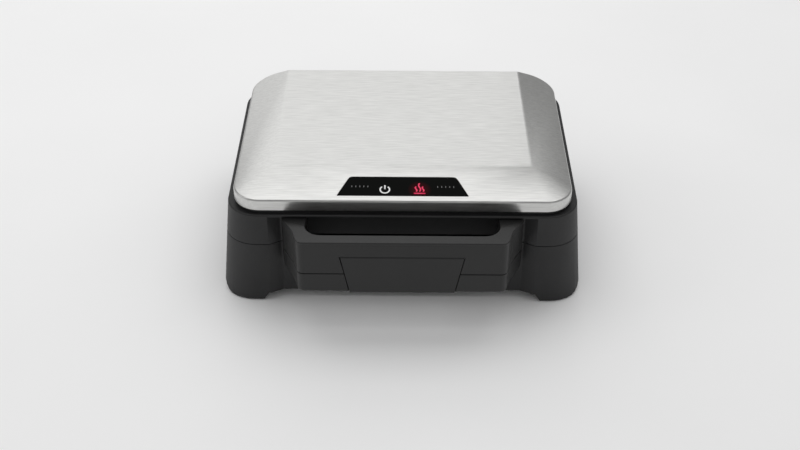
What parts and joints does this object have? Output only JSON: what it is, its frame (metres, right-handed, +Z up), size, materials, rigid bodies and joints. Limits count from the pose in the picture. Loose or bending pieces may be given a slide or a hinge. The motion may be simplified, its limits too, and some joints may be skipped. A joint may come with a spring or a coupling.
{
  "type": "sandwich maker",
  "caption": "Countertop cooker with a brushed steel lid on a rear hinge, a loop handle with a latch flap, and ridged non-stick plates that press and part toasted sandwiches.",
  "frame": {"origin": "on the table, under the middle of the whole footprint from the handle to the hinge", "axes": "+X to the right seen from the front, +Y to the back, +Z up; the handle is at the front"},
  "size_m": [0.2808, 0.2398, 0.1019],
  "materials": {
    "lid_cover": "satin, brushed across the width",
    "black_moulding": "fine matt grain",
    "handle_moulding": "fine matt grain",
    "panel_lens": "gloss",
    "board_laminate": "satin",
    "led_clear": "clear",
    "led_red": "clear red",
    "non_stick_coating": "black non-stick coating on cast aluminium",
    "element_sheath": "heat-tinted",
    "reflector_sheet": "bright rolled sheet",
    "zinc_plated_steel": "zinc plated",
    "terminal_ceramic": "unglazed",
    "pad_rubber": "matt"
  },
  "bodies": {
    "base": {"base_housing": "black_moulding", "base_floor": "black_moulding", "cord_gland": "black_moulding", "lower_handle": "handle_moulding", "lower_plate": "non_stick_coating", "lower_element": "element_sheath", "lower_reflector": "reflector_sheet", "thermal_fuse": "terminal_ceramic", "terminal_block": "terminal_ceramic", "thermostat": "zinc_plated_steel", "hinge_pin_left": "zinc_plated_steel", "hinge_pin_right": "zinc_plated_steel", "lower_plate_screw_1": "zinc_plated_steel", "lower_plate_screw_2": "zinc_plated_steel", "lower_plate_screw_3": "zinc_plated_steel", "lower_plate_screw_4": "zinc_plated_steel", "lower_handle_screw_left": "zinc_plated_steel", "lower_handle_screw_right": "zinc_plated_steel", "floor_screw_1": "zinc_plated_steel", "floor_screw_2": "zinc_plated_steel", "floor_screw_3": "zinc_plated_steel", "floor_screw_4": "zinc_plated_steel", "foot_pad_1": "pad_rubber", "foot_pad_2": "pad_rubber", "foot_pad_3": "pad_rubber", "foot_pad_4": "pad_rubber"},
    "lid": {"lid_housing": "black_moulding", "lid_cover": "lid_cover", "control_panel": "panel_lens", "indicator_board": "board_laminate", "power_led": "led_clear", "heat_led": "led_red", "upper_handle": "handle_moulding", "upper_plate": "non_stick_coating", "upper_element": "element_sheath", "upper_reflector": "reflector_sheet", "latch_pin": "zinc_plated_steel", "upper_plate_screw_1": "zinc_plated_steel", "upper_plate_screw_2": "zinc_plated_steel", "upper_plate_screw_3": "zinc_plated_steel", "upper_plate_screw_4": "zinc_plated_steel", "upper_handle_screw_left": "zinc_plated_steel", "upper_handle_screw_right": "zinc_plated_steel"},
    "latch": {"latch_flap": "handle_moulding"}
  },
  "joints": [
    {"name": "lid_hinge", "type": "hinge", "parent": "base", "child": "lid", "pos_m": [0, 0.11335, 0.0542], "axis": [-1, 0, 0], "range_deg": [0, 100]},
    {"name": "latch_pivot", "type": "hinge", "parent": "lid", "child": "latch", "pos_m": [0, -0.11605, 0.0679], "axis": [-1, 0, 0], "range_deg": [0, 35]}
  ]
}
